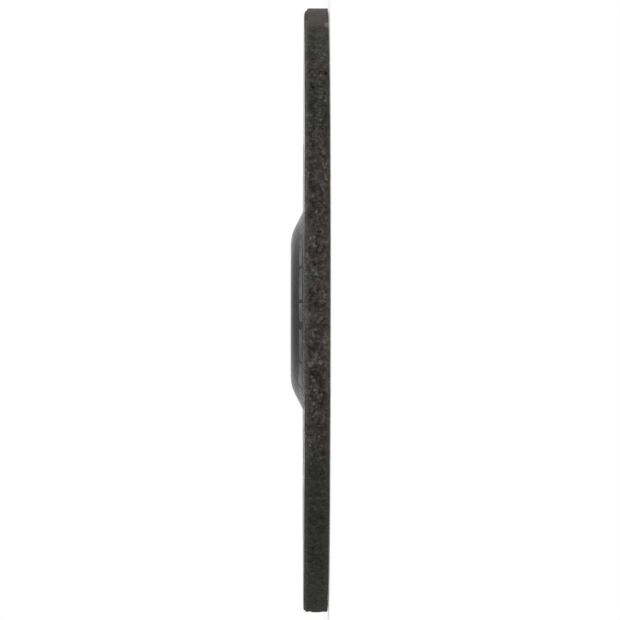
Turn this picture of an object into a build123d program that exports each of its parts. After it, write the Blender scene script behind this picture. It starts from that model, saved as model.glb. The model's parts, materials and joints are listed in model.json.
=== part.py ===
from build123d import *
import os

# A depressed-centre grinding disc in millimetres. It lies on its grinding face with the boss up.
# The origin is at the centre of the grinding face, and +Z is the axis that the disc spins about.

# Moulded abrasive body
disc_diameter = 180.0
rim_thickness = 7.45
back_bevel_reach = 0.9
back_bevel_drop = 1.05
face_relief_reach = 3.3
face_relief_rise = 0.3

# Boss on the back
boss_height = 3.85
boss_land = 6.8
boss_run = 7.25
boss_shoulder_round = 11.2
boss_foot_round = 2.5

# Recess in the grinding face
recess_depth = 4.6
recess_inset = 0.8
recess_run = 6.5
recess_floor_round = 2.5
recess_mouth_round = 3.0

# Bore ring, an eyelet pressed from one sheet and crimped flush into the boss and the recess floor
bore_diameter = 22.23
ring_sheet = 0.4
ring_mouth_chamfer = 0.35
flange_width = 4.0
lip_width = 1.4

# Paper label, pressed on to the boss and the back while the disc was moulded
label_margin = 20.0
label_thickness = 0.15

# Breaks out of the back edge: a turn about the axis, then how far the break eats in and down
chip_breaks = [(0.0, 2.3, 1.1), (-6.5, 1.55, 0.9), (5.5, 1.75, 1.0)]

# Each break is stepped by a steep wall: shares of its reach and drop at the wall's foot and head
chip_foot_reach = 0.38
chip_foot_drop = 0.76
chip_head_reach = 0.49
chip_head_drop = 0.26

# Heights and radii that follow from the sizes
top_height = rim_thickness + boss_height
moulded_top = top_height - label_thickness
flange_height = top_height - ring_sheet
lip_height = recess_depth + ring_sheet

rim_radius = disc_diameter / 2
bore_radius = bore_diameter / 2
tube_radius = bore_radius + ring_sheet
flange_radius = tube_radius + flange_width
lip_radius = tube_radius + lip_width
flat_radius = flange_radius + boss_land
foot_radius = flat_radius + boss_run
floor_radius = flat_radius - recess_inset
mouth_radius = floor_radius + recess_run


def turned(*corners):
    """Returns the solid of a closed outline about the Z axis. A corner is (radius, height, round)."""
    points = [(radius, height) for radius, height, _ in corners]
    rounds = [corner_round for _, _, corner_round in corners]
    outline = FilletPolyline(*points, radius=rounds, close=True)
    return revolve(Plane.XZ * make_face(outline), Axis.Z)


def chip():
    """Returns the union of the breaks that the back edge has lost at +X, each with its steep wall."""
    broken = Part()
    for turn, reach, drop in chip_breaks:
        section = Polyline(
            (rim_radius, rim_thickness - drop),
            (rim_radius - reach * chip_foot_reach, rim_thickness - drop * chip_foot_drop),
            (rim_radius - reach * chip_head_reach, rim_thickness - drop * chip_head_drop),
            (rim_radius - reach, rim_thickness),
            (rim_radius - reach, rim_thickness + drop),
            (rim_radius + reach, rim_thickness + drop),
            (rim_radius + reach, rim_thickness - drop),
            close=True,
        )
        prism = extrude(Plane.XZ * make_face(section), rim_radius, both=True)
        broken += Rot(Z=turn) * prism
    return broken


def abrasive_disc():
    """Returns the moulded body: rim, boss, recess, and the seat that the bore ring is crimped into."""
    body = turned(
        (tube_radius, lip_height, 0),
        (lip_radius, lip_height, 0),
        (lip_radius, recess_depth, 0),
        (floor_radius, recess_depth, recess_floor_round),
        (mouth_radius, 0, recess_mouth_round),
        (rim_radius - face_relief_reach, 0, 0),
        (rim_radius, face_relief_rise, 0),
        (rim_radius, rim_thickness - back_bevel_drop, 0),
        (rim_radius - back_bevel_reach, rim_thickness, 0),
        (foot_radius, rim_thickness, boss_foot_round),
        (flat_radius, moulded_top, boss_shoulder_round),
        (flange_radius, moulded_top, 0),
        (flange_radius, flange_height, 0),
        (tube_radius, flange_height, 0),
    )
    return body - chip()


def bore_ring():
    """Returns the steel eyelet: a tube with a flange flush in the boss and a lip flush in the recess."""
    mouth = bore_radius + ring_mouth_chamfer
    return turned(
        (bore_radius, recess_depth + ring_mouth_chamfer, 0),
        (mouth, recess_depth, 0),
        (lip_radius, recess_depth, 0),
        (lip_radius, lip_height, 0),
        (tube_radius, lip_height, 0),
        (tube_radius, flange_height, 0),
        (flange_radius, flange_height, 0),
        (flange_radius, top_height, 0),
        (mouth, top_height, 0),
        (bore_radius, top_height - ring_mouth_chamfer, 0),
    )


def label():
    """Returns the paper, of one thickness, that follows the boss from the flange to the back face."""
    label_radius = foot_radius + label_margin
    # The paper's outer corners lie on the line that halves each corner of the moulded face.
    slope = Vector(boss_run, boss_height - label_thickness)
    corner_shift = label_thickness * (slope.length - slope.X) / slope.Y
    return turned(
        (flange_radius, moulded_top, 0),
        (flat_radius, moulded_top, boss_shoulder_round),
        (foot_radius, rim_thickness, boss_foot_round),
        (label_radius, rim_thickness, 0),
        (label_radius, rim_thickness + label_thickness, 0),
        (
            foot_radius + corner_shift,
            rim_thickness + label_thickness,
            boss_foot_round - label_thickness,
        ),
        (flat_radius + corner_shift, top_height, boss_shoulder_round + label_thickness),
        (flange_radius, top_height, 0),
    )


os.makedirs("parts", exist_ok=True)
for piece in (abrasive_disc, bore_ring, label):
    export_step(piece(), f"parts/{piece.__name__}.step")
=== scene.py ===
"""Looks of a depressed-centre grinding disc: its grit, steel bore ring, paper label and stage."""

import itertools
import json
import math

import bpy
import numpy as np
from bpy.props import FloatProperty, FloatVectorProperty, IntProperty, PointerProperty
from bpy.types import Operator, Panel, PropertyGroup
from mathutils import Matrix, Vector


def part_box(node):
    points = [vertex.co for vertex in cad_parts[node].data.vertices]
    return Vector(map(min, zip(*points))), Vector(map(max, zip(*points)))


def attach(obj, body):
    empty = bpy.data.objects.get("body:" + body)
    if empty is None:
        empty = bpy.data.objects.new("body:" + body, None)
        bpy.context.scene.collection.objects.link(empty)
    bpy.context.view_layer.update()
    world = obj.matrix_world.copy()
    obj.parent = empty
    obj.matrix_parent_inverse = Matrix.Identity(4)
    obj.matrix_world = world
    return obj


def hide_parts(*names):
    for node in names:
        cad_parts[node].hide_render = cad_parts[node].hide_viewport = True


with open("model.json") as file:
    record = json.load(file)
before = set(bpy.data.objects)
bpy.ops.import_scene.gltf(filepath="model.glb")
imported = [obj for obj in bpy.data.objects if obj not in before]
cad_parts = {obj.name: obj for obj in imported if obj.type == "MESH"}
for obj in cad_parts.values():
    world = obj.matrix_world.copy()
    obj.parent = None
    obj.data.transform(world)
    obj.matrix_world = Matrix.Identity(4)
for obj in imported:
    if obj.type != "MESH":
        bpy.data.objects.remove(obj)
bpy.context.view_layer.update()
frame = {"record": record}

bl_info = {
    "name": "Grinding Disc",
    "version": (1, 0, 0),
    "blender": (4, 5, 0),
    "location": "3D View > Sidebar > Grinding Disc",
    "description": "Makes a moulded grinding disc with its bore ring, label and stage",
    "category": "Add Mesh",
}

MM = 0.001
RING_STEPS = 240
LABEL_STEPS = 480
FLOOR_RADIUS = 0.8
FLOOR_SIDES = 96
FLOOR_DROP = 0.05 * MM
BODY_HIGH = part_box("abrasive_disc")[1]
RING_LOW, RING_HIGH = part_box("bore_ring")
LABEL_LOW, LABEL_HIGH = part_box("label")
BORE = next(mount for mount in frame["record"]["mounts"] if mount["name"] == "bore")


def linear(red, green, blue):
    """Returns the light that a screen gives for a colour of 0 to 255, by the usual display curve."""
    shares = (channel / 255 for channel in (red, green, blue))
    return tuple(s / 12.92 if s <= 0.04045 else ((s + 0.055) / 1.055) ** 2.4 for s in shares)


def size(name, default, description):
    """Returns a length property in metres."""
    return FloatProperty(
        name=name, description=description, default=default, min=0.0, precision=5, unit="LENGTH"
    )


def turn(name, degrees, description):
    """Returns an angle property."""
    default = math.radians(degrees)
    return FloatProperty(name=name, description=description, default=default, subtype="ANGLE")


def share(name, default, description):
    """Returns a property from 0 to 1."""
    return FloatProperty(
        name=name, description=description, default=default, min=0.0, max=1.0, subtype="FACTOR"
    )


def strength(name, default, description):
    """Returns a property for light, where 1 shows a colour as it is."""
    return FloatProperty(name=name, description=description, default=default, min=0.0)


def paint(name, default, description):
    """Returns a colour property."""
    return FloatVectorProperty(
        name=name, description=description, default=default, min=0.0, max=1.0, subtype="COLOR"
    )


class DiscSizes(PropertyGroup):
    """Sizes of the moulded body, its ring and its label."""

    rim_radius: size("Rim radius", BODY_HIGH.x, "Half of the disc's diameter")
    rim_thickness: size("Rim thickness", LABEL_LOW.z, "From the grinding face to the back face")
    bevel_reach: size("Bevel reach", 0.9 * MM, "Width of the back edge's bevel on the back face")
    bevel_drop: size("Bevel drop", 1.05 * MM, "Height of the back edge's bevel on the rim")
    bevel_round: size("Bevel round", 0.55 * MM, "Rounding of the bevel's two edges")
    relief_reach: size("Relief reach", 3.3 * MM, "Where the grinding face starts to rise")
    relief_rise: size("Relief rise", 0.3 * MM, "How high the grinding face is at the rim")
    relief_round: size("Relief round", 24 * MM, "Rounding where the rise starts")
    face_round: size("Face round", 0.35 * MM, "Rounding between the rise and the rim")
    boss_land: size("Boss land", 6.8 * MM, "From the ring's flange to the boss's shoulder")
    boss_run: size("Boss run", 7.25 * MM, "Width of the boss's slope")
    shoulder_round: size("Shoulder round", 11.2 * MM, "Rounding of the boss's shoulder")
    foot_round: size("Foot round", 2.5 * MM, "Rounding of the boss's foot")
    recess_inset: size("Recess inset", 0.8 * MM, "How much the recess is narrower than the boss")
    recess_run: size("Recess run", 6.5 * MM, "Width of the recess's slope")
    floor_round: size("Floor round", 2.5 * MM, "Rounding of the recess's inner corner")
    mouth_round: size("Mouth round", 3.0 * MM, "Rounding of the recess's outer edge")
    ring_sheet: size("Ring sheet", 0.4 * MM, "Thickness of the bore ring")
    lip_width: size("Lip width", 1.4 * MM, "Width of the bore ring's crimped lip")
    ring_mouth: size("Ring mouth", 0.35 * MM, "Rounding of the bore ring's mouths")
    ring_edge: size("Ring edge", 0.12 * MM, "Rounding of the bore ring's outer edges")
    foot_reach: share("Wall foot reach", 0.38, "Where a break's steep wall starts, across the break")
    foot_drop: share("Wall foot drop", 0.76, "Where a break's steep wall starts, down the break")
    head_reach: share("Wall head reach", 0.49, "Where a break's steep wall ends, across the break")
    head_drop: share("Wall head drop", 0.26, "Where a break's steep wall ends, down the break")
    break_rough: size("Break roughness", 0.15 * MM, "How far the breaks' surfaces are uneven")


class GritFinish(PropertyGroup):
    """Grain sizes, relief and colours of the abrasive."""

    rim_steps: IntProperty(name="Rim steps", description="Mesh steps round the rim", default=1620)
    web_ratio: IntProperty(name="Web ratio", description="Rim steps to one step inside", default=6)
    band: size("Fine band", 5.0 * MM, "Width of the finely meshed band on both faces")
    grain: size("Grain", 0.85 * MM, "Size of the coarse grains")
    fine_grain: size("Fine grain", 0.45 * MM, "Size of the grains in the skins")
    grain_warp: size("Grain warp", 0.9 * MM, "How far the grains' outlines wander")
    relief: size("Relief", 0.14 * MM, "How deep the gaps between the grains are")
    pit_spread: size("Pit spread", 2.1 * MM, "Spacing of the pits")
    pit_radius: size("Pit radius", 0.65 * MM, "Radius of the largest pits")
    pit_depth: size("Pit depth", 0.35 * MM, "Depth of the deepest pits")
    edge_wear: size("Edge wear", 0.22 * MM, "How far the rim's two edges are worn back in places")
    # Colour of the painted shade in the pits and gouges
    pit: paint("Pit", linear(15, 15, 14), "Bottom of the pits")
    brown: paint("Brown", linear(74, 68, 64), "Most of the grit")
    olive: paint("Olive", linear(71, 70, 60), "Olive patches in the grit")
    slate: paint("Slate", linear(75, 72, 74), "Slate-coloured patches in the grit")
    rust: paint("Rust", linear(82, 68, 64), "Red-brown patches in the grit")
    green: paint("Green", linear(70, 71, 64), "Grit at the ends that the photograph shows greenish")
    skin: paint("Skin", linear(70, 69, 66), "Fine skins at both edges of the rim")
    nick: paint("Nick", linear(128, 122, 119), "Fresh grit in the pale nick")
    worn: paint("Worn", linear(68, 60, 52), "The smooth stretch of the rim beside the breaks")
    thread: paint("Thread", linear(96, 94, 86), "Glass mesh that shows on the faces")
    mesh_pitch: size("Mesh pitch", 4.4 * MM, "Spacing of the glass mesh")
    mesh_turn: turn("Mesh turn", 24, "How the glass mesh lies")


class LabelFinish(PropertyGroup):
    """Print and paper of the label."""

    paper: paint("Paper", linear(30, 30, 30), "Dark field of the label")
    light: paint("Light print", linear(99, 99, 96), "Broken ring on the boss's slope")
    band_inner: size("Band inner", 27.1 * MM, "Inner radius of the broken ring")
    band_outer: size("Band outer", 28.7 * MM, "Outer radius of the broken ring")
    line_radius: size("Line radius", 46.4 * MM, "Radius of the thin line near the label's edge")
    line_width: size("Line width", 0.9 * MM, "Width of the thin line near the label's edge")


class RingFinish(PropertyGroup):
    """Steel of the bore ring."""

    steel: paint("Steel", linear(136, 135, 132), "Bright steel")
    stain: paint("Stain", linear(112, 106, 99), "Dull stains on the steel")


class StudioSettings(PropertyGroup):
    """Camera, lamps and floor."""

    distance: size("Camera distance", 2.14, "From the disc's axis to the camera")
    eye_height: size("Camera height", 15.1 * MM, "Height of the camera over the floor")
    aim_height: size("Aim height", 5.53 * MM, "Height that the camera is aimed at")
    frame_width: size("Frame width", 184.9 * MM, "Width of the picture at the disc's axis")
    rise: size("Rise", 0.11 * MM, "How far the camera is moved along the disc's +X")
    lean: turn("Lean", 0.06, "How much the disc leans in the picture")
    ambient: strength("Ambient", 0.5, "The room's light on the disc")
    floor: paint("Floor", (0.8, 0.8, 0.8), "Colour of the floor")


# Breaks out of the back edge: a turn about the axis in degrees, then how far each eats in and down
CHIP_BREAKS = ((0.0, 2.3 * MM, 1.1 * MM), (-6.5, 1.55 * MM, 0.9 * MM), (5.5, 1.75 * MM, 1.0 * MM))

# Gaps in the label's broken ring, in degrees from the front: middle and width, repeated six times
LABEL_GAPS = ((26.9, 2.0), (5.5, 2.2), (-9.3, 5.1))

# Middle of the pale nick in the rim, where fresh grit shows
LIGHT_NICK = (84 * MM, -32.3 * MM, 0.65 * MM)

# Gouges in the rim: turn about the axis in degrees, height, half length, half height, depth, and
# how much painted shade each gets, from 0 to 1
GOUGES = (
    (-14.2, 6.8 * MM, 4.4 * MM, 0.45 * MM, 0.5 * MM, 0.5),
    (-40, 1.25 * MM, 0.9 * MM, 0.6 * MM, 0.4 * MM, 0.8),
    (-43.9, 5.05 * MM, 0.8 * MM, 0.6 * MM, 0.4 * MM, 0.8),
    (-178, 5.6 * MM, 11 * MM, 0.55 * MM, 0.24 * MM, 0.0),
    (-178, 1.5 * MM, 11 * MM, 0.9 * MM, 0.14 * MM, 0.0),
)

# Turns from +X at which the smooth stretch beside the breaks starts and is full
SMOOTH_STRETCH = (math.radians(24), math.radians(19))

# Salts, so that each random pattern differs from the others
FINE_LUMPS = 11
COARSE_LUMPS = 12
EDGE_WEAR = 13
PITS = 21
SHORT_WAVES = 31
LONG_WAVES = 32
ROUGH_BREAKS = 41

# Lamps: name, place, breadth, and exposure at the disc
LAMPS = (
    ("Front", (0.5, -1.6, 1.0), 1.2, 0.36),
    ("Over", (0.2, 0.2, 1.8), 1.4, 0.22),
    ("Behind", (0.75, 1.15, 0.25), 0.5, 0.045),
)


def mixed(cells, salt):
    """Returns a number from 0 to 1 for each whole-number cell: its coordinates, times large odd
    numbers, are joined bit by bit and shuffled twice, so a cell always gives the same number."""
    x, y, z = (cells[..., k].astype(np.int64) for k in range(3))
    bits = (x * 73856093) ^ (y * 19349663) ^ (z * 83492791) ^ (salt * 2654435761)
    bits &= 0xFFFFFFFF
    for _ in range(2):
        bits = (((bits >> 16) ^ bits) * 0x45D9F3B) & 0xFFFFFFFF
    return ((bits >> 16) ^ bits) / 0xFFFFFFFF


def soft_noise(points, salt):
    """Returns smooth noise from 0 to 1: random values at whole-number corners, blended across each
    unit cube by 3t²-2t³."""
    base = np.floor(points).astype(np.int64)
    part = points - base
    part = part * part * (3 - 2 * part)
    total = np.zeros(points.shape[:-1])
    for corner in itertools.product((0, 1), repeat=3):
        weight = np.prod(np.where(np.array(corner) == 1, part, 1 - part), axis=-1)
        total += weight * mixed(base + np.array(corner), salt)
    return total


def nearest_seed(points, salt):
    """Returns the distance to the nearest of one random seed per unit cube, and that seed's number."""
    base = np.floor(points).astype(np.int64)
    best = np.full(points.shape[:-1], 9.0)
    owner = np.zeros(points.shape[:-1])
    for step in itertools.product((-1, 0, 1), repeat=3):
        cell = base + np.array(step)
        seed = cell + np.stack([mixed(cell, salt + k) for k in range(3)], axis=-1)
        distance = np.linalg.norm(points - seed, axis=-1)
        closer = distance < best
        best = np.where(closer, distance, best)
        owner = np.where(closer, mixed(cell, salt + 3), owner)
    return best, owner


def ease(value, low, high):
    """Returns 0 at low, 1 at high and 3t²-2t³ between them; low may be the higher."""
    t = np.clip((value - low) / (high - low), 0, 1)
    return t * t * (3 - 2 * t)


def arc_at(before, corner, after, radius):
    """Returns the points of the arc that rounds a corner: it touches both sides at
    radius·tan(turn/2) from the corner, in steps of at most 12 degrees."""
    inward = (corner - before) / np.linalg.norm(corner - before)
    outward = (after - corner) / np.linalg.norm(after - corner)
    bend = math.atan2(inward[0] * outward[1] - inward[1] * outward[0], inward @ outward)
    side = np.array([-inward[1], inward[0]]) * math.copysign(1, bend)
    start = corner - inward * radius * math.tan(abs(bend) / 2)
    steps = max(2, math.ceil(math.degrees(abs(bend)) / 12))
    angle = np.linspace(0, abs(bend), steps + 1)[:, None]
    return start + radius * (np.sin(angle) * inward + (1 - np.cos(angle)) * side)


def outline(corners, closed=True):
    """Returns an outline and its outward normals, both (n, 2) arrays of radius and height.

    A corner is (radius, height, round, spacing). The side after it is divided evenly into steps of
    about its spacing. The material lies on the outline's left, so an outward normal is the tangent
    turned a quarter to the right.
    """
    places = [np.array(corner[:2], dtype=float) for corner in corners]
    count = len(corners)
    arcs = []
    for i, (_, _, radius, _) in enumerate(corners):
        at_end = not closed and i in (0, count - 1)
        if radius == 0 or at_end:
            arcs.append(places[i][None, :])
        else:
            arcs.append(arc_at(places[i - 1], places[i], places[(i + 1) % count], radius))
    pieces = []
    for i, arc in enumerate(arcs):
        pieces.append(arc)
        if closed or i < count - 1:
            start, stop = arc[-1], arcs[(i + 1) % count][0]
            steps = max(1, math.ceil(np.linalg.norm(stop - start) / corners[i][3]))
            pieces.append(np.linspace(start, stop, steps + 1)[1:-1])
    points = np.concatenate(pieces)
    if closed:
        tangent = np.roll(points, -1, axis=0) - np.roll(points, 1, axis=0)
    else:
        tangent = np.gradient(points, axis=0)
    normals = np.stack([tangent[:, 1], -tangent[:, 0]], axis=1)
    return points, normals / np.linalg.norm(normals, axis=1, keepdims=True)


def swept(profile, steps):
    """Returns an (n, steps, 3) grid: each (radius, height) of a profile carried once round Z."""
    angle = np.arange(steps) * (2 * math.pi / steps)
    radius, height = profile[:, 0, None], profile[:, 1, None]
    return np.stack(
        [radius * np.cos(angle), radius * np.sin(angle), height * np.ones(steps)], axis=-1
    )


def grid_quads(numbers, closed=True):
    """Returns the outward quads of a grid of vertex numbers, rows along the profile and columns
    round Z; with closed set, its last row also joins its first."""
    beside = np.roll(numbers, -1, axis=1)
    quads = np.stack(
        [numbers, beside, np.roll(beside, -1, axis=0), np.roll(numbers, -1, axis=0)], axis=-1
    )
    return (quads if closed else quads[:-1]).reshape(-1, 4)


def numbered(points, first=0):
    """Returns the vertex numbers of a grid of points, row by row from the first."""
    rows, columns = points.shape[:2]
    return first + np.arange(rows * columns).reshape(rows, columns)


def stitched(fine, coarse, fine_first):
    """Returns the triangles between a row of vertex numbers and one with fewer: each coarse step
    holds a fan from both of its ends, each over half of its fine steps, and one triangle between."""
    ratio = len(fine) // len(coarse)
    middle = ratio // 2
    after = np.roll(coarse, -1)
    following = np.roll(fine, -1)
    fans = [
        np.stack([fine[k::ratio], following[k::ratio], coarse if k < middle else after], axis=-1)
        for k in range(ratio)
    ]
    fans.append(np.stack([fine[middle::ratio], after, coarse], axis=-1))
    triangles = np.concatenate(fans)
    return triangles if fine_first else triangles[:, ::-1]


def add_piece(name, points, faces, material, node):
    """Makes a smooth mesh piece at the origin from arrays, and lets it stand for a CAD node."""
    mesh = bpy.data.meshes.new(name)
    corners = list(itertools.chain.from_iterable(part.tolist() for part in faces))
    mesh.from_pydata(points.reshape(-1, 3).tolist(), [], corners)
    mesh.polygons.foreach_set("use_smooth", np.ones(len(mesh.polygons), dtype=bool))
    mesh.set_sharp_from_angle(angle=math.radians(60))
    mesh.materials.append(material)
    piece = bpy.data.objects.new(name, mesh)
    bpy.context.collection.objects.link(piece)
    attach(piece, "root")
    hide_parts(node)
    return piece


def add_values(piece, name, values):
    """Stores one number for each vertex, which the material reads."""
    attribute = piece.data.attributes.new(name, "FLOAT", "POINT")
    attribute.data.foreach_set("value", values.astype(np.float32).ravel())


class Value:
    """A shader socket in an expression: arithmetic on it adds the Math nodes that work it out."""

    def __init__(self, finish, socket):
        self.finish = finish
        self.socket = socket

    def math(self, operation, *values):
        """Returns the result of a Math node on these values."""
        return self.finish.node("ShaderNodeMath", {"operation": operation}, dict(enumerate(values)))

    def __add__(self, other):
        return self.math("ADD", self, other)

    def __sub__(self, other):
        return self.math("SUBTRACT", self, other)

    def __rsub__(self, other):
        return self.math("SUBTRACT", other, self)

    def __mul__(self, other):
        return self.math("MULTIPLY", self, other)

    def __truediv__(self, other):
        return self.math("DIVIDE", self, other)

    def __pow__(self, other):
        return self.math("POWER", self, other)

    __radd__ = __add__
    __rmul__ = __mul__

    def absolute(self):
        """Returns the value without its sign."""
        return self.math("ABSOLUTE", self)

    def larger(self, other):
        """Returns the larger of two values."""
        return self.math("MAXIMUM", self, other)

    def off_whole(self):
        """Returns how far the value is from the nearest whole number, from 0 to 0.5."""
        return 0.5 - (self.math("FRACT", self) - 0.5).absolute()

    def ease(self, low, high):
        """Returns 0 at low, 1 at high and a smooth step between them; low may be the higher."""
        if low > high:
            return 1 - self.ease(high, low)
        return self.finish.node(
            "ShaderNodeMapRange",
            {"interpolation_type": "SMOOTHSTEP"},
            {"Value": self, "From Min": low, "From Max": high},
        )


class Finish:
    """The nodes of a material or a world, built from expressions."""

    def __init__(self, owner, output):
        owner.use_nodes = True
        self.tree = owner.node_tree
        self.tree.nodes.clear()
        self.output = self.tree.nodes.new(output)

    def node(self, kind, settings, sockets, output=0):
        """Adds a node, applies its settings, fills its sockets with values or links, and returns one
        of its outputs. A ramp's setting "stops" is a list of (place, colour)."""
        made = self.tree.nodes.new(kind)
        for name, setting in settings.items():
            if name == "stops":
                self.set_stops(made.color_ramp, setting)
            else:
                setattr(made, name, setting)
        for name, value in sockets.items():
            socket = made.inputs[name]
            if isinstance(value, Value):
                self.tree.links.new(value.socket, socket)
            elif socket.type == "RGBA":
                socket.default_value = (*value, 1.0)
            else:
                socket.default_value = value
        return Value(self, made.outputs[output])

    def set_stops(self, ramp, stops):
        """Gives a colour ramp these stops."""
        while len(ramp.elements) < len(stops):
            ramp.elements.new(1.0)
        for element, (place, colour) in zip(ramp.elements, stops):
            element.position = place
            element.color = (*colour, 1.0)

    def place(self):
        """Returns the place on the piece, in metres from the disc's origin."""
        return self.node("ShaderNodeTexCoord", {}, {}, "Object")

    def parts(self, vector):
        """Returns the three numbers of a vector or a colour."""
        outputs = self.node("ShaderNodeSeparateXYZ", {}, {"Vector": vector}).socket.node.outputs
        return [Value(self, output) for output in outputs]

    def joined(self, x, y, z):
        """Returns the vector of three numbers."""
        return self.node("ShaderNodeCombineXYZ", {}, {"X": x, "Y": y, "Z": z})

    def stored(self, name):
        """Returns a number that the mesh stores for each vertex."""
        return self.node("ShaderNodeAttribute", {"attribute_name": name}, {}, "Fac")

    def noise(self, vector, feature, detail=2.0):
        """Returns noise about 0.5 with features of a width in metres."""
        sockets = {"Vector": vector, "Scale": 1 / feature, "Detail": detail}
        return self.node("ShaderNodeTexNoise", {}, sockets)

    def warped(self, vector, feature, reach):
        """Returns a place moved by up to a reach, by noise with features of a width."""
        sockets = {"Vector": vector, "Scale": 1 / feature}
        push = self.node("ShaderNodeTexNoise", {}, sockets, "Color")
        settings = {"operation": "MULTIPLY_ADD"}
        return self.node("ShaderNodeVectorMath", settings, {0: push, 1: (reach,) * 3, 2: vector})

    def cells(self, vector, grain):
        """Returns the distance from the middle of a grain, in grain widths, and its own number."""
        sockets = {"Vector": vector, "Scale": 1 / grain}
        distance = self.node("ShaderNodeTexVoronoi", {}, sockets, "Distance")
        colour = Value(self, distance.socket.node.outputs["Color"])
        return distance, self.parts(colour)[0]

    def ramp(self, value, stops):
        """Returns the colour that a number picks from the stops."""
        return self.node("ShaderNodeValToRGB", {"stops": stops}, {"Fac": value})

    def mix(self, below, above, factor):
        """Returns one colour laid over another by a factor."""
        return self.node("ShaderNodeMix", {"data_type": "RGBA"}, {0: factor, 6: below, 7: above}, 2)

    def scaled(self, colour, factor):
        """Returns a colour made lighter or darker by a factor."""
        settings = {"operation": "SCALE"}
        return self.node("ShaderNodeVectorMath", settings, {0: colour, "Scale": factor})

    def bump(self, height, depth, normal=None):
        """Returns the normals of a surface raised by a height of 0 to 1, times a depth in metres."""
        sockets = {"Height": height, "Distance": depth}
        if normal is not None:
            sockets["Normal"] = normal
        return self.node("ShaderNodeBump", {}, sockets)

    def surface(self, sockets):
        """Finishes the material with a Principled surface."""
        self.shown(self.node("ShaderNodeBsdfPrincipled", {}, sockets))

    def shown(self, shader):
        """Links a shader to the output."""
        self.tree.links.new(shader.socket, self.output.inputs["Surface"])


def new_material(name):
    """Returns a material and its empty finish."""
    material = bpy.data.materials.new(name)
    return material, Finish(material, "ShaderNodeOutputMaterial")


def glass_mesh(x, y, grit, edge, middle):
    """Returns 1 on the threads of the turned glass mesh and 0 between them. The edge and the middle
    of a thread are shares of the mesh's pitch, off its centre line."""
    along = x * math.cos(grit.mesh_turn) + y * math.sin(grit.mesh_turn)
    aside = y * math.cos(grit.mesh_turn) - x * math.sin(grit.mesh_turn)
    weft = (along / grit.mesh_pitch).off_whole().ease(edge, middle)
    warp = (aside / grit.mesh_pitch).off_whole().ease(edge, middle)
    return weft.larger(warp)


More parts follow.
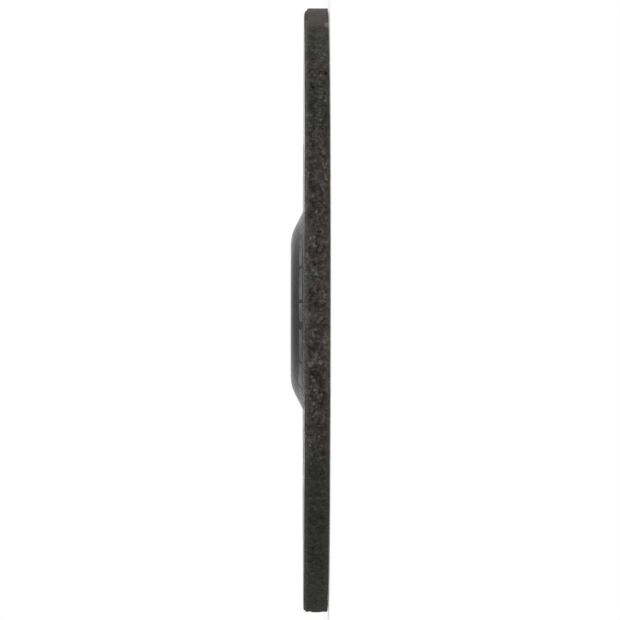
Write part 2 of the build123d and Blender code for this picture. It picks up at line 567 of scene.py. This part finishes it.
def grit_material(sizes, grit):
    """Returns the moulded grit: coarse brown and green grains in dark resin, two finer skins,
    pits and gouges with painted shade, a bevel with painted light, a smooth stretch with a painted
    highlight and a pale nick beside the breaks, and a glass mesh that shows on the faces."""
    material, finish = new_material("Moulded grit")
    place = finish.place()
    x, y, height = finish.parts(place)
    wandering = finish.warped(place, 0.9 * MM, grit.grain_warp)
    across, tone = finish.cells(wandering, grit.grain)
    fine_across, fine_tone = finish.cells(place, grit.fine_grain)
    patch = finish.noise(wandering, 3.2 * MM)
    clump = finish.noise(place, 2.0 * MM)
    blotch = finish.noise(place, 6.5 * MM)
    cloud = finish.noise(place, 26 * MM)
    face = finish.stored("face")
    broken = finish.stored("broken")

    # Zones of the rim along X, each 1 where it is full
    rim = 1 - face
    low_green = x.ease(-27 * MM, -38 * MM) * rim
    low_end = x.ease(-35 * MM, -49 * MM) * rim
    low_tip = x.ease(-80 * MM, -87 * MM) * rim
    upper = x.ease(20 * MM, 34 * MM) * rim
    between = (x - 60 * MM).absolute().ease(10 * MM, 4 * MM) * rim
    high_end = x.ease(62 * MM, 78 * MM) * rim
    high_green = x.ease(70 * MM, 77 * MM) * rim
    high_tip = x.ease(79 * MM, 83 * MM) * rim
    ends = low_end.larger(high_end)

    # Grains: the hue of each patch, greener in the green zones, and how light each grain is,
    # darker towards the rim's -X end and lighter towards its +X end
    hues = [
        (0.3, grit.olive),
        (0.42, grit.brown),
        (0.5, grit.slate),
        (0.58, grit.brown),
        (0.7, grit.rust),
    ]
    green_zones = low_green * 0.17 + low_end * 0.25 + high_green * 0.33 + between * 0.2
    greenness = (blotch + cloud * 0.6 + green_zones).ease(0.9, 1.12)
    hue = finish.mix(finish.ramp(patch, hues), grit.green, greenness)
    gap = across.ease(0.5, 0.95)
    glints = tone.ease(0.86, 0.96) * patch.ease(0.64, 0.56)
    grain_light = (0.42 + tone * 0.95 + glints * 0.6) * (1 - gap * 0.45)
    grain_light = 0.85 + (grain_light - 0.85) * (1 - ends * 0.35)
    darker = x.ease(24 * MM, 44 * MM) * 0.05 + between * 0.06 + low_end * 0.2 + low_tip * 0.15
    lighter = (high_end + high_green) * 0.12 + high_tip * 0.1
    patches = (blotch - 0.5) * (1.3 - low_end * 0.8)
    zone_light = (clump * 1.1 + 0.45 + patches) * (0.87 - darker + lighter)
    middle = finish.scaled(hue, grain_light * zone_light)

    # Finer skins at both faces and in the recess, laid over the grains
    skin_light = (0.42 + fine_tone * 0.45 + clump * 0.6) * (1 - low_end * 0.25 - low_tip * 0.15)
    border = height + (blotch - 0.5) * (1.6 * MM)
    back_skin = border.ease(sizes.rim_thickness - 1.9 * MM, sizes.rim_thickness - 0.7 * MM) * 0.4
    face_skin = border.ease(1.7 * MM, 0.8 * MM) * (0.5 + ends * 0.35)
    skin = back_skin.larger(face_skin) * (1 - face * 0.5)
    recess = height.ease(6.6 * MM, 5.6 * MM) * ((x * x + y * y) ** 0.5).ease(60 * MM, 40 * MM)
    skin = skin.larger(recess * 0.42)
    colour = finish.mix(middle, finish.scaled(grit.skin, skin_light), skin)

    # Stripes along the rim: a bevel lightened as painted light, a dark stripe beside it and a light
    # one at the face
    # Painted light: the bevel faces up towards the lamps, so it is painted lighter, more towards +X
    # and less towards -X.
    bevel = height.ease(sizes.rim_thickness - sizes.bevel_drop, sizes.rim_thickness) * rim
    bevel = bevel * (0.38 + upper * 0.4 + high_end * 0.1 - low_end * 0.18)
    beside = (height - 5.2 * MM).absolute().ease(1.3 * MM, 0.5 * MM) * upper
    near_face = height.ease(2.4 * MM, 1.2 * MM) * rim * (1 - upper) * (1 - low_tip)
    colour = finish.scaled(colour, 1 + bevel - beside * 0.15 + near_face * 0.17)

    # The smooth stretch beside the breaks, with a painted highlight where the rim turns to +X, and the
    # pale nick
    worn_edge = x + (blotch - 0.5) * (3 * MM) + (clump - 0.5) * (2.4 * MM)
    worn = worn_edge.ease(81.1 * MM, 83.9 * MM) * rim * (1 - broken)
    # Painted highlight: the smooth stretch is painted lighter within about 1 mm of the rim's +X edge,
    # and a little darker from 85 to 87 mm along X.
    worn_zones_and_highlight = 0.64 - x.ease(85 * MM, 87 * MM) * 0.13 + x.ease(88.9 * MM, 89.6 * MM) * 0.39
    worn_tone_and_highlight = worn_zones_and_highlight + clump * 0.4 + fine_tone * 0.12
    colour = finish.mix(colour, finish.scaled(grit.worn, worn_tone_and_highlight), worn * 0.82)
    nick_x, nick_y, nick_height = LIGHT_NICK
    along_rim = ((x - nick_x) ** 2 + (y - nick_y) ** 2) * 0.2
    from_nick = (along_rim + (height - nick_height) ** 2) ** 0.5
    colour = finish.mix(colour, grit.nick, from_nick.ease(1.3 * MM, 0.25 * MM) * (0.5 + clump))

    # The glass mesh on the faces, and painted shade in the pits and gouges
    woven_x, woven_y, _ = finish.parts(finish.warped(place, 9 * MM, 1.4 * MM))
    showing = face * cloud.ease(0.25, 0.6) * clump.ease(0.25, 0.55)
    thread = glass_mesh(woven_x, woven_y, grit, 0.2, 0.04) * showing
    colour = finish.mix(colour, grit.thread, thread * 0.3)
    # Painted shade: the pits are darkened by how deep they lie, the gouges by their own share of
    # shade.
    colour = finish.mix(colour, grit.pit, finish.stored("pit").ease(0.1, 0.75))

    grain_normal = finish.bump((1 - gap) * (1 - skin * 0.7) * (1 - worn * 0.8), 0.1 * MM)
    fine_normal = finish.bump(1 - fine_across, 0.09 * MM, grain_normal)
    finish.surface(
        {
            "Base Color": colour,
            "Roughness": 0.8 + fine_tone * 0.15 - worn * 0.2,
            "Specular IOR Level": 0.12,
            "Coat Weight": face * (1 - broken) * (0.75 - x.ease(-46 * MM, -54 * MM) * 0.35),
            "Coat Roughness": 0.04,
            "Coat IOR": 1.01,
            "Normal": finish.bump(thread, 0.12 * MM, fine_normal),
        }
    )
    return material


def label_material(label, grit):
    """Returns the label: varnished dark paper with a broken ring and a thin line in lighter print,
    and the glass mesh pressing through."""
    material, finish = new_material("Varnished label")
    place = finish.place()
    x, y, _ = finish.parts(place)
    radius = (x * x + y * y) ** 0.5
    sixths = y.math("ARCTAN2", x, 0 - y) * (3 / math.pi)
    print_wear = finish.noise(place, 5.5 * MM)

    # The broken ring: its angles are in sixths of a turn, so 60 degrees are 1.
    smudged = radius + (print_wear - 0.5) * (1.3 * MM)
    blur = 0.15 * MM
    band = smudged.ease(label.band_inner - blur, label.band_inner + blur)
    band = band * smudged.ease(label.band_outer + blur, label.band_outer - blur)
    for middle, width in LABEL_GAPS:
        half = width / 120
        band = band * (sixths - middle / 60).off_whole().ease(half - 0.004, half + 0.004)

    # The thin line, and how much of both has not worn off
    off_line = (radius - label.line_radius).absolute()
    line = off_line.ease(label.line_width * 0.6, label.line_width * 0.4)
    fading = finish.noise(place, 8 * MM)
    kept = (0.5 + print_wear.ease(0.3, 0.6) * 0.5) * (0.25 + fading * 1.4)
    printed = band.larger(line * 0.6) * kept

    # Paper, with the mesh that presses through where it lies level, and scuffs
    level = finish.stored("face")
    mesh = glass_mesh(x, y, grit, 0.22, 0.02) * (0.25 + level * 0.75)
    mottle = finish.noise(place, 3.5 * MM)
    fibre = finish.noise(place, 0.45 * MM)
    paper = finish.scaled(label.paper, 0.6 + mottle * 0.5 + fibre * 0.3 + mesh * level * 0.25)
    colour = finish.mix(paper, label.light, printed)
    scuffed = finish.noise(place, 11 * MM).ease(0.4, 0.62)
    scuffs = finish.noise(place, 1.6 * MM).ease(0.52, 0.78) * scuffed
    colour = finish.mix(colour, label.light, scuffs * 0.16)
    pressed = finish.bump(mesh, 0.07 * MM)
    finish.surface(
        {
            "Base Color": colour,
            "Roughness": 0.2 + mottle * 0.16 + level * 0.1,
            "Specular IOR Level": 0.07,
            "Coat Weight": level * 0.6,
            "Coat Roughness": 0.04,
            "Coat IOR": 1.01,
            "Normal": finish.bump(fibre * (1 - level * 0.8), 0.02 * MM, pressed),
        }
    )
    return material


def steel_material(ring):
    """Returns the ring's steel: fine marks that run round it, and duller stains."""
    material, finish = new_material("Pressed steel")
    place = finish.place()
    x, y, height = finish.parts(place)
    radius = (x * x + y * y) ** 0.5
    round_axis = y.math("ARCTAN2", y, x) * (0.4 * MM)
    marks = finish.noise(finish.joined(radius, height, round_axis), 0.16 * MM)
    stains = finish.noise(place, 5 * MM, 4.0).ease(0.4, 0.8)
    finish.surface(
        {
            "Base Color": finish.mix(ring.steel, ring.stain, stains * 0.6),
            "Metallic": 1.0,
            "Roughness": 0.32 + marks * 0.15 + stains * 0.12,
            "Normal": finish.bump(marks, 0.012 * MM),
        }
    )
    return material


def body_corners(sizes):
    """Returns the two halves of the moulded outline: the fine band round the rim, from the grinding
    face to the back, and the web inside it, from the back over boss, bore and recess to the face."""
    top = BODY_HIGH.z
    thickness = sizes.rim_thickness
    rim = sizes.rim_radius
    band = rim - bpy.context.scene.grit_finish.band
    web_edge = band - 1.2 * MM
    tube = BORE["dims"]["r_mm"] * MM + sizes.ring_sheet
    lip = tube + sizes.lip_width
    lip_height = RING_LOW.z + sizes.ring_sheet
    flange_height = RING_HIGH.z - sizes.ring_sheet
    flat = RING_HIGH.x + sizes.boss_land
    recess_floor = flat - sizes.recess_inset
    deepest = max(reach for _, reach, _ in CHIP_BREAKS)
    plane, coarse, fine = 9 * MM, 2.6 * MM, 0.37 * MM
    rim_band = [
        (band, 0, 0, 1.1 * MM),
        (rim - sizes.relief_reach, 0, sizes.relief_round, 0.6 * MM),
        (rim, sizes.relief_rise, sizes.face_round, fine),
        (rim, thickness - sizes.bevel_drop, sizes.bevel_round, fine),
        (rim - sizes.bevel_reach, thickness, sizes.bevel_round, 0.25 * MM),
        (rim - deepest, thickness, 0, 0.9 * MM),
        (band, thickness, 0, 0),
    ]
    web = [
        (web_edge, thickness, 0, plane),
        (flat + sizes.boss_run, thickness, sizes.foot_round, coarse),
        (flat, top, sizes.shoulder_round, coarse),
        (RING_HIGH.x, top, 0, coarse),
        (RING_HIGH.x, flange_height, 0, coarse),
        (tube, flange_height, 0, coarse),
        (tube, lip_height, 0, coarse),
        (lip, lip_height, 0, coarse),
        (lip, RING_LOW.z, 0, 1.3 * MM),
        (recess_floor, RING_LOW.z, sizes.floor_round, coarse),
        (recess_floor + sizes.recess_run, 0, sizes.mouth_round, plane),
        (web_edge, 0, 0, 0),
    ]
    return rim_band, web


def break_edge(points, sizes):
    """Returns the points with the breaks taken out of the back edge, and how broken each is, from 0
    to 1. Across its turned X axis each break has a ledge, a steep wall and a slope, roughened by
    noise, and what stands over them sinks to them, keeping a fiftieth of its height so that no
    faces fall together."""
    left = points.copy()
    rough = soft_noise(points / (0.9 * MM), ROUGH_BREAKS) * sizes.break_rough
    for degrees, reach, drop in CHIP_BREAKS:
        angle = math.radians(degrees)
        out = left[..., 0] * math.cos(angle) + left[..., 1] * math.sin(angle)
        stops = sizes.rim_radius - reach * np.array([1, sizes.head_reach, sizes.foot_reach, 0])
        falls = sizes.rim_thickness - drop * np.array([0, sizes.head_drop, sizes.foot_drop, 1])
        ceiling = np.interp(out, stops, falls) - rough
        over = np.maximum(left[..., 2] - ceiling, 0) * (out > stops[0])
        left[..., 2] -= over * 0.98
    return left, ease(points[..., 2] - left[..., 2], 0.02 * MM, 0.2 * MM)


def worn_grit(points, normals, sizes, grit):
    """Returns the fine band with its relief, and how much painted shade each point gets, from 0 to 1.

    Every point moves in along its normal, never out: by the gaps between noise-shaped grains, by
    round pits about scattered seeds, each depth·(1-(d/r)²)², and by the gouges, each
    depth·exp(-(s/a)⁴-(h/b)²) at s along the rim and h in height, made uneven by the same noise.
    """
    bearing = np.arctan2(points[..., 1], points[..., 0])
    radius = np.hypot(points[..., 0], points[..., 1])
    height = points[..., 2]
    on_rim = ease(radius, sizes.rim_radius - 1.6 * MM, sizes.rim_radius - 0.3 * MM)
    smooth = ease(np.abs(bearing), *SMOOTH_STRETCH)
    middle = ease(height, 0.5 * MM, 1.8 * MM) * ease(height, 7.0 * MM, 5.6 * MM)
    fade = ease(radius, sizes.rim_radius - grit.band, sizes.rim_radius - grit.band + 1.5 * MM)

    lumps = soft_noise(points / (0.62 * grit.grain), FINE_LUMPS) * 0.6
    lumps += soft_noise(points / (1.7 * grit.grain), COARSE_LUMPS) * 0.4
    coarseness = (0.3 + 0.7 * middle * on_rim) * (1 - 0.75 * smooth)
    depth = grit.relief * coarseness * ease(lumps, 0.75, 0.2)

    distance, number = nearest_seed(points / grit.pit_spread, PITS)
    reach = grit.pit_radius / grit.pit_spread * (0.45 + 0.55 * (number * 7 % 1))
    bowl = np.clip(1 - (distance / reach) ** 2, 0, 1) ** 2
    pit = bowl * (0.5 + 0.5 * number) * (number > 0.35)
    pit *= (0.35 + 0.65 * middle) * (1 - 0.9 * smooth)
    gouged = np.zeros_like(pit)
    shaded = np.zeros_like(pit)
    for degrees, middle_height, half_length, half_height, gouge_depth, shade in GOUGES:
        chord = 2 * np.sin((bearing - math.radians(degrees)) / 2) * sizes.rim_radius
        along = chord / half_length
        gouge = np.exp(-(along**4) - ((height - middle_height) / half_height) ** 2)
        gouge *= on_rim * (0.5 + lumps)
        gouged = np.maximum(gouged, gouge * gouge_depth)
        shaded = np.maximum(shaded, gouge * shade)
    at_edges = ease(height, 1.5 * MM, 0.5 * MM) + ease(height, 5.9 * MM, 6.6 * MM)
    on_edge = ease(radius, sizes.rim_radius - 1.4 * MM, sizes.rim_radius - 0.9 * MM) * at_edges
    wearing = ease(soft_noise(points / (2.6 * MM), EDGE_WEAR), 0.55, 0.15)
    depth += grit.edge_wear * on_edge * wearing
    inward = (depth + np.maximum(pit * grit.pit_depth, gouged)) * fade
    moved = points - normals * inward[..., None]
    moved[..., 2] = np.clip(moved[..., 2], 0, sizes.rim_thickness)
    return moved, np.maximum(pit, shaded).clip(0, 1) * fade


class MESH_OT_grinding_disc_body(Operator):
    """Makes the moulded abrasive body, with the relief of its grit and its broken back edge"""

    bl_idname = "mesh.grinding_disc_body"
    bl_label = "Abrasive Body"
    bl_options = {"REGISTER", "UNDO"}

    def execute(self, context):
        sizes = context.scene.disc_sizes
        grit = context.scene.grit_finish
        rim_corners, web_corners = body_corners(sizes)
        rim_profile, rim_normals = outline(rim_corners, closed=False)
        web_profile, web_normals = outline(web_corners, closed=False)
        rim = swept(rim_profile, grit.rim_steps)
        web = swept(web_profile, grit.rim_steps // grit.web_ratio)
        rim, pit = worn_grit(rim, swept(rim_normals, grit.rim_steps), sizes, grit)
        rim, broken = break_edge(rim, sizes)

        rim_numbers = numbered(rim)
        web_numbers = numbered(web, rim_numbers.size)
        faces = [
            grid_quads(rim_numbers, closed=False),
            grid_quads(web_numbers, closed=False),
            stitched(rim_numbers[-1], web_numbers[0], fine_first=True),
            stitched(rim_numbers[0], web_numbers[-1], fine_first=False),
        ]
        points = np.concatenate([rim.reshape(-1, 3), web.reshape(-1, 3)])
        material = grit_material(sizes, grit)
        piece = add_piece("abrasive_body", points, faces, material, "abrasive_disc")
        face = [
            np.repeat(ease(np.abs(normals[:, 1]), 0.6, 0.95), grid.shape[1])
            for normals, grid in ((rim_normals, rim), (web_normals, web))
        ]
        add_values(piece, "face", np.concatenate(face))
        for name, values in (("pit", pit), ("broken", broken)):
            add_values(piece, name, np.concatenate([values.ravel(), np.zeros(web_numbers.size)]))
        return {"FINISHED"}


class MESH_OT_grinding_disc_ring(Operator):
    """Makes the steel bore ring, a tube with a flange, a crimped lip and rounded mouths"""

    bl_idname = "mesh.grinding_disc_ring"
    bl_label = "Bore Ring"
    bl_options = {"REGISTER", "UNDO"}

    def execute(self, context):
        sizes = context.scene.disc_sizes
        bore = BORE["dims"]["r_mm"] * MM
        tube = bore + sizes.ring_sheet
        lip = tube + sizes.lip_width
        step = 0.8 * MM
        corners = [
            (bore, RING_LOW.z, sizes.ring_mouth, step),
            (lip, RING_LOW.z, sizes.ring_edge, step),
            (lip, RING_LOW.z + sizes.ring_sheet, 0, step),
            (tube, RING_LOW.z + sizes.ring_sheet, 0, step),
            (tube, RING_HIGH.z - sizes.ring_sheet, 0, step),
            (RING_HIGH.x, RING_HIGH.z - sizes.ring_sheet, 0, step),
            (RING_HIGH.x, RING_HIGH.z, sizes.ring_edge, step),
            (bore, RING_HIGH.z, sizes.ring_mouth, step),
        ]
        points = swept(outline(corners)[0], RING_STEPS)
        faces = [grid_quads(numbered(points))]
        material = steel_material(context.scene.ring_finish)
        add_piece("steel_bore_ring", points, faces, material, "bore_ring")
        return {"FINISHED"}


class MESH_OT_grinding_disc_label(Operator):
    """Makes the paper label, a thin closed sheet that follows the boss and waves a little"""

    bl_idname = "mesh.grinding_disc_label"
    bl_label = "Label"
    bl_options = {"REGISTER", "UNDO"}

    def execute(self, context):
        sizes = context.scene.disc_sizes
        under = BODY_HIGH.z
        top = LABEL_HIGH.z
        sheet = top - under
        flat = RING_HIGH.x + sizes.boss_land
        foot = flat + sizes.boss_run
        # The upper corners lie on the line that halves each corner of the moulded face.
        slope = math.hypot(sizes.boss_run, under - sizes.rim_thickness)
        shift = sheet * (slope - sizes.boss_run) / (under - sizes.rim_thickness)
        step = 0.9 * MM
        feather = 0.2 * MM
        edge = sheet * 0.8
        corners = [
            (RING_HIGH.x, under, 0, step),
            (flat, under, sizes.shoulder_round, step),
            (foot, sizes.rim_thickness, sizes.foot_round, step),
            (LABEL_HIGH.x, sizes.rim_thickness, 0, step),
            (LABEL_HIGH.x - feather, sizes.rim_thickness + edge, 0, step),
            (foot + shift, sizes.rim_thickness + sheet, sizes.foot_round - sheet, step),
            (flat + shift, top, sizes.shoulder_round + sheet, step),
            (RING_HIGH.x, top, 0, step),
        ]
        profile, normals = outline(corners)
        points = swept(profile, LABEL_STEPS)
        # Waves sink the upper side by up to two fifths of the sheet, which is thinner at its edge.
        outer_side = ease(normals[:, 1], 0.5, 0.8)[:, None]
        wave = soft_noise(points / (5 * MM), SHORT_WAVES) * 0.5
        wave += soft_noise(points / (14 * MM), LONG_WAVES) * 0.5
        local_sheet = np.minimum(points[..., 2] - sizes.rim_thickness, sheet)
        points[..., 2] -= wave * outer_side * 0.4 * local_sheet
        faces = [grid_quads(numbered(points))]
        material = label_material(context.scene.label_finish, context.scene.grit_finish)
        piece = add_piece("paper_label", points, faces, material, "label")
        level = ease(normals[:, 1], 0.97, 0.995) * ease(profile[:, 0], foot + 1 * MM, foot + 2 * MM)
        add_values(piece, "face", np.repeat(level, points.shape[1]))
        return {"FINISHED"}


def aimed(place, target, lean=0.0):
    """Returns the matrix that puts something at a place and points its -Z at a target. Its +X points
    down to the floor, so its +Y is the disc's +X, leant by an angle."""
    forward = (target - place).normalized()
    up = Vector((math.cos(lean), 0, math.sin(lean)))
    right = forward.cross(up).normalized()
    turned = Matrix((right, right.cross(forward), -forward)).transposed()
    return Matrix.Translation(place) @ turned.to_4x4()


def add_lamp(name, place, target, breadth, exposure):
    """Adds a square lamp that gives an exposure at its target, where 1 shows a colour as it is: a
    lamp of P watts gives P/(π²d²) at the distance d."""
    data = bpy.data.lights.new(name, "AREA")
    data.shape = "SQUARE"
    data.size = breadth
    data.energy = exposure * (math.pi * (target - place).length) ** 2
    lamp = bpy.data.objects.new(name, data)
    lamp.matrix_world = aimed(place, target)
    bpy.context.collection.objects.link(lamp)


def seen_directly(finish):
    """Returns 1 for rays from the camera or from glossy or clear surfaces, and 0 for others."""
    outputs = finish.node("ShaderNodeLightPath", {}, {}).socket.node.outputs
    camera, glossy, clear = (
        Value(finish, outputs[f"Is {kind} Ray"]) for kind in ("Camera", "Glossy", "Transmission")
    )
    return camera.larger(glossy).larger(clear)


class SCENE_OT_grinding_disc_stage(Operator):
    """Makes the camera, the lamps, the white room and the pale floor"""

    bl_idname = "scene.grinding_disc_stage"
    bl_label = "Stage"
    bl_options = {"REGISTER", "UNDO"}

    def execute(self, context):
        studio = context.scene.studio_settings
        self.add_camera(context.scene, studio)
        self.add_lamps()
        self.add_room(context.scene, studio)
        self.add_floor(studio)
        context.scene.view_settings.view_transform = "Standard"
        return {"FINISHED"}

    def add_camera(self, scene, studio):
        """Adds the camera, level with the disc and rolled so that the picture's up is +X."""
        data = bpy.data.cameras.new("Camera")
        data.sensor_width = 36
        data.lens = data.sensor_width * studio.distance / studio.frame_width
        data.clip_start = 0.05
        data.clip_end = 100
        camera = bpy.data.objects.new("Camera", data)
        place = Vector((studio.rise, -studio.distance, studio.eye_height))
        target = Vector((studio.rise, 0, studio.aim_height))
        camera.matrix_world = aimed(place, target, studio.lean)
        scene.collection.objects.link(camera)
        scene.camera = camera

    def add_lamps(self):
        """Adds a broad front lamp, a softer one over the disc and one behind the rim at +X."""
        centre = Vector((0, 0, 5 * MM))
        for name, place, breadth, exposure in LAMPS:
            add_lamp(name, Vector(place), centre, breadth, exposure)

    def add_room(self, scene, studio):
        """Adds the room: white where it is seen, and dimmer where it lights the disc."""
        world = bpy.data.worlds.new("Room")
        scene.world = world
        finish = Finish(world, "ShaderNodeOutputWorld")
        light = seen_directly(finish) * (1 - studio.ambient) + studio.ambient
        sockets = {"Color": (1, 1, 1), "Strength": light}
        finish.shown(finish.node("ShaderNodeBackground", {}, sockets))

    def add_floor(self, studio):
        """Adds the floor: pale, lifted to white where it is seen, and all white away from the disc.
        Only the camera sees it, and only from above, so that the underside can be looked at."""
        material, finish = new_material("Pale floor")
        x, y, _ = finish.parts(finish.place())
        far = ((x * x + y * y) ** 0.5).ease(0.16, 0.4)
        matt = finish.node("ShaderNodeBsdfDiffuse", {}, {"Color": studio.floor})
        lift = finish.node("ShaderNodeEmission", {}, {"Strength": 0.3})
        near = finish.node("ShaderNodeAddShader", {}, {0: matt, 1: lift})
        white = finish.node("ShaderNodeEmission", {}, {"Strength": 1.0})
        upper = finish.node("ShaderNodeMixShader", {}, {0: far, 1: near, 2: white})
        below = finish.node("ShaderNodeNewGeometry", {}, {}, "Backfacing")
        clear = finish.node("ShaderNodeBsdfTransparent", {}, {})
        finish.shown(finish.node("ShaderNodeMixShader", {}, {0: below, 1: upper, 2: clear}))
        mesh = bpy.data.meshes.new("Floor")
        ring = swept(np.array([[FLOOR_RADIUS, -FLOOR_DROP]]), FLOOR_SIDES)[0]
        mesh.from_pydata(ring.tolist(), [], [list(range(FLOOR_SIDES))])
        mesh.materials.append(material)
        floor = bpy.data.objects.new("Floor", mesh)
        floor.visible_diffuse = False
        floor.visible_glossy = False
        floor.visible_shadow = False
        bpy.context.collection.objects.link(floor)


class VIEW3D_PT_grinding_disc(Panel):
    """Sidebar panel with the disc's pieces, sizes and finishes"""

    bl_label = "Grinding Disc"
    bl_space_type = "VIEW_3D"
    bl_region_type = "UI"
    bl_category = "Grinding Disc"

    def draw(self, context):
        for operator in OPERATORS:
            self.layout.operator(operator.bl_idname)
        for name, group in GROUPS.items():
            box = self.layout.box()
            box.label(text=group.__doc__)
            for key in group.__annotations__:
                box.prop(getattr(context.scene, name), key)


GROUPS = {
    "disc_sizes": DiscSizes,
    "grit_finish": GritFinish,
    "label_finish": LabelFinish,
    "ring_finish": RingFinish,
    "studio_settings": StudioSettings,
}
OPERATORS = (
    MESH_OT_grinding_disc_body,
    MESH_OT_grinding_disc_ring,
    MESH_OT_grinding_disc_label,
    SCENE_OT_grinding_disc_stage,
)


def register():
    for name, group in GROUPS.items():
        bpy.utils.register_class(group)
        setattr(bpy.types.Scene, name, PointerProperty(type=group))
    for item in (*OPERATORS, VIEW3D_PT_grinding_disc):
        bpy.utils.register_class(item)


def unregister():
    for item in (VIEW3D_PT_grinding_disc, *reversed(OPERATORS)):
        bpy.utils.unregister_class(item)
    for name, group in reversed(GROUPS.items()):
        delattr(bpy.types.Scene, name)
        bpy.utils.unregister_class(group)


def main():
    register()
    bpy.ops.mesh.grinding_disc_body()
    bpy.ops.mesh.grinding_disc_ring()
    bpy.ops.mesh.grinding_disc_label()
    bpy.ops.scene.grinding_disc_stage()


if __name__ == "__main__":
    main()
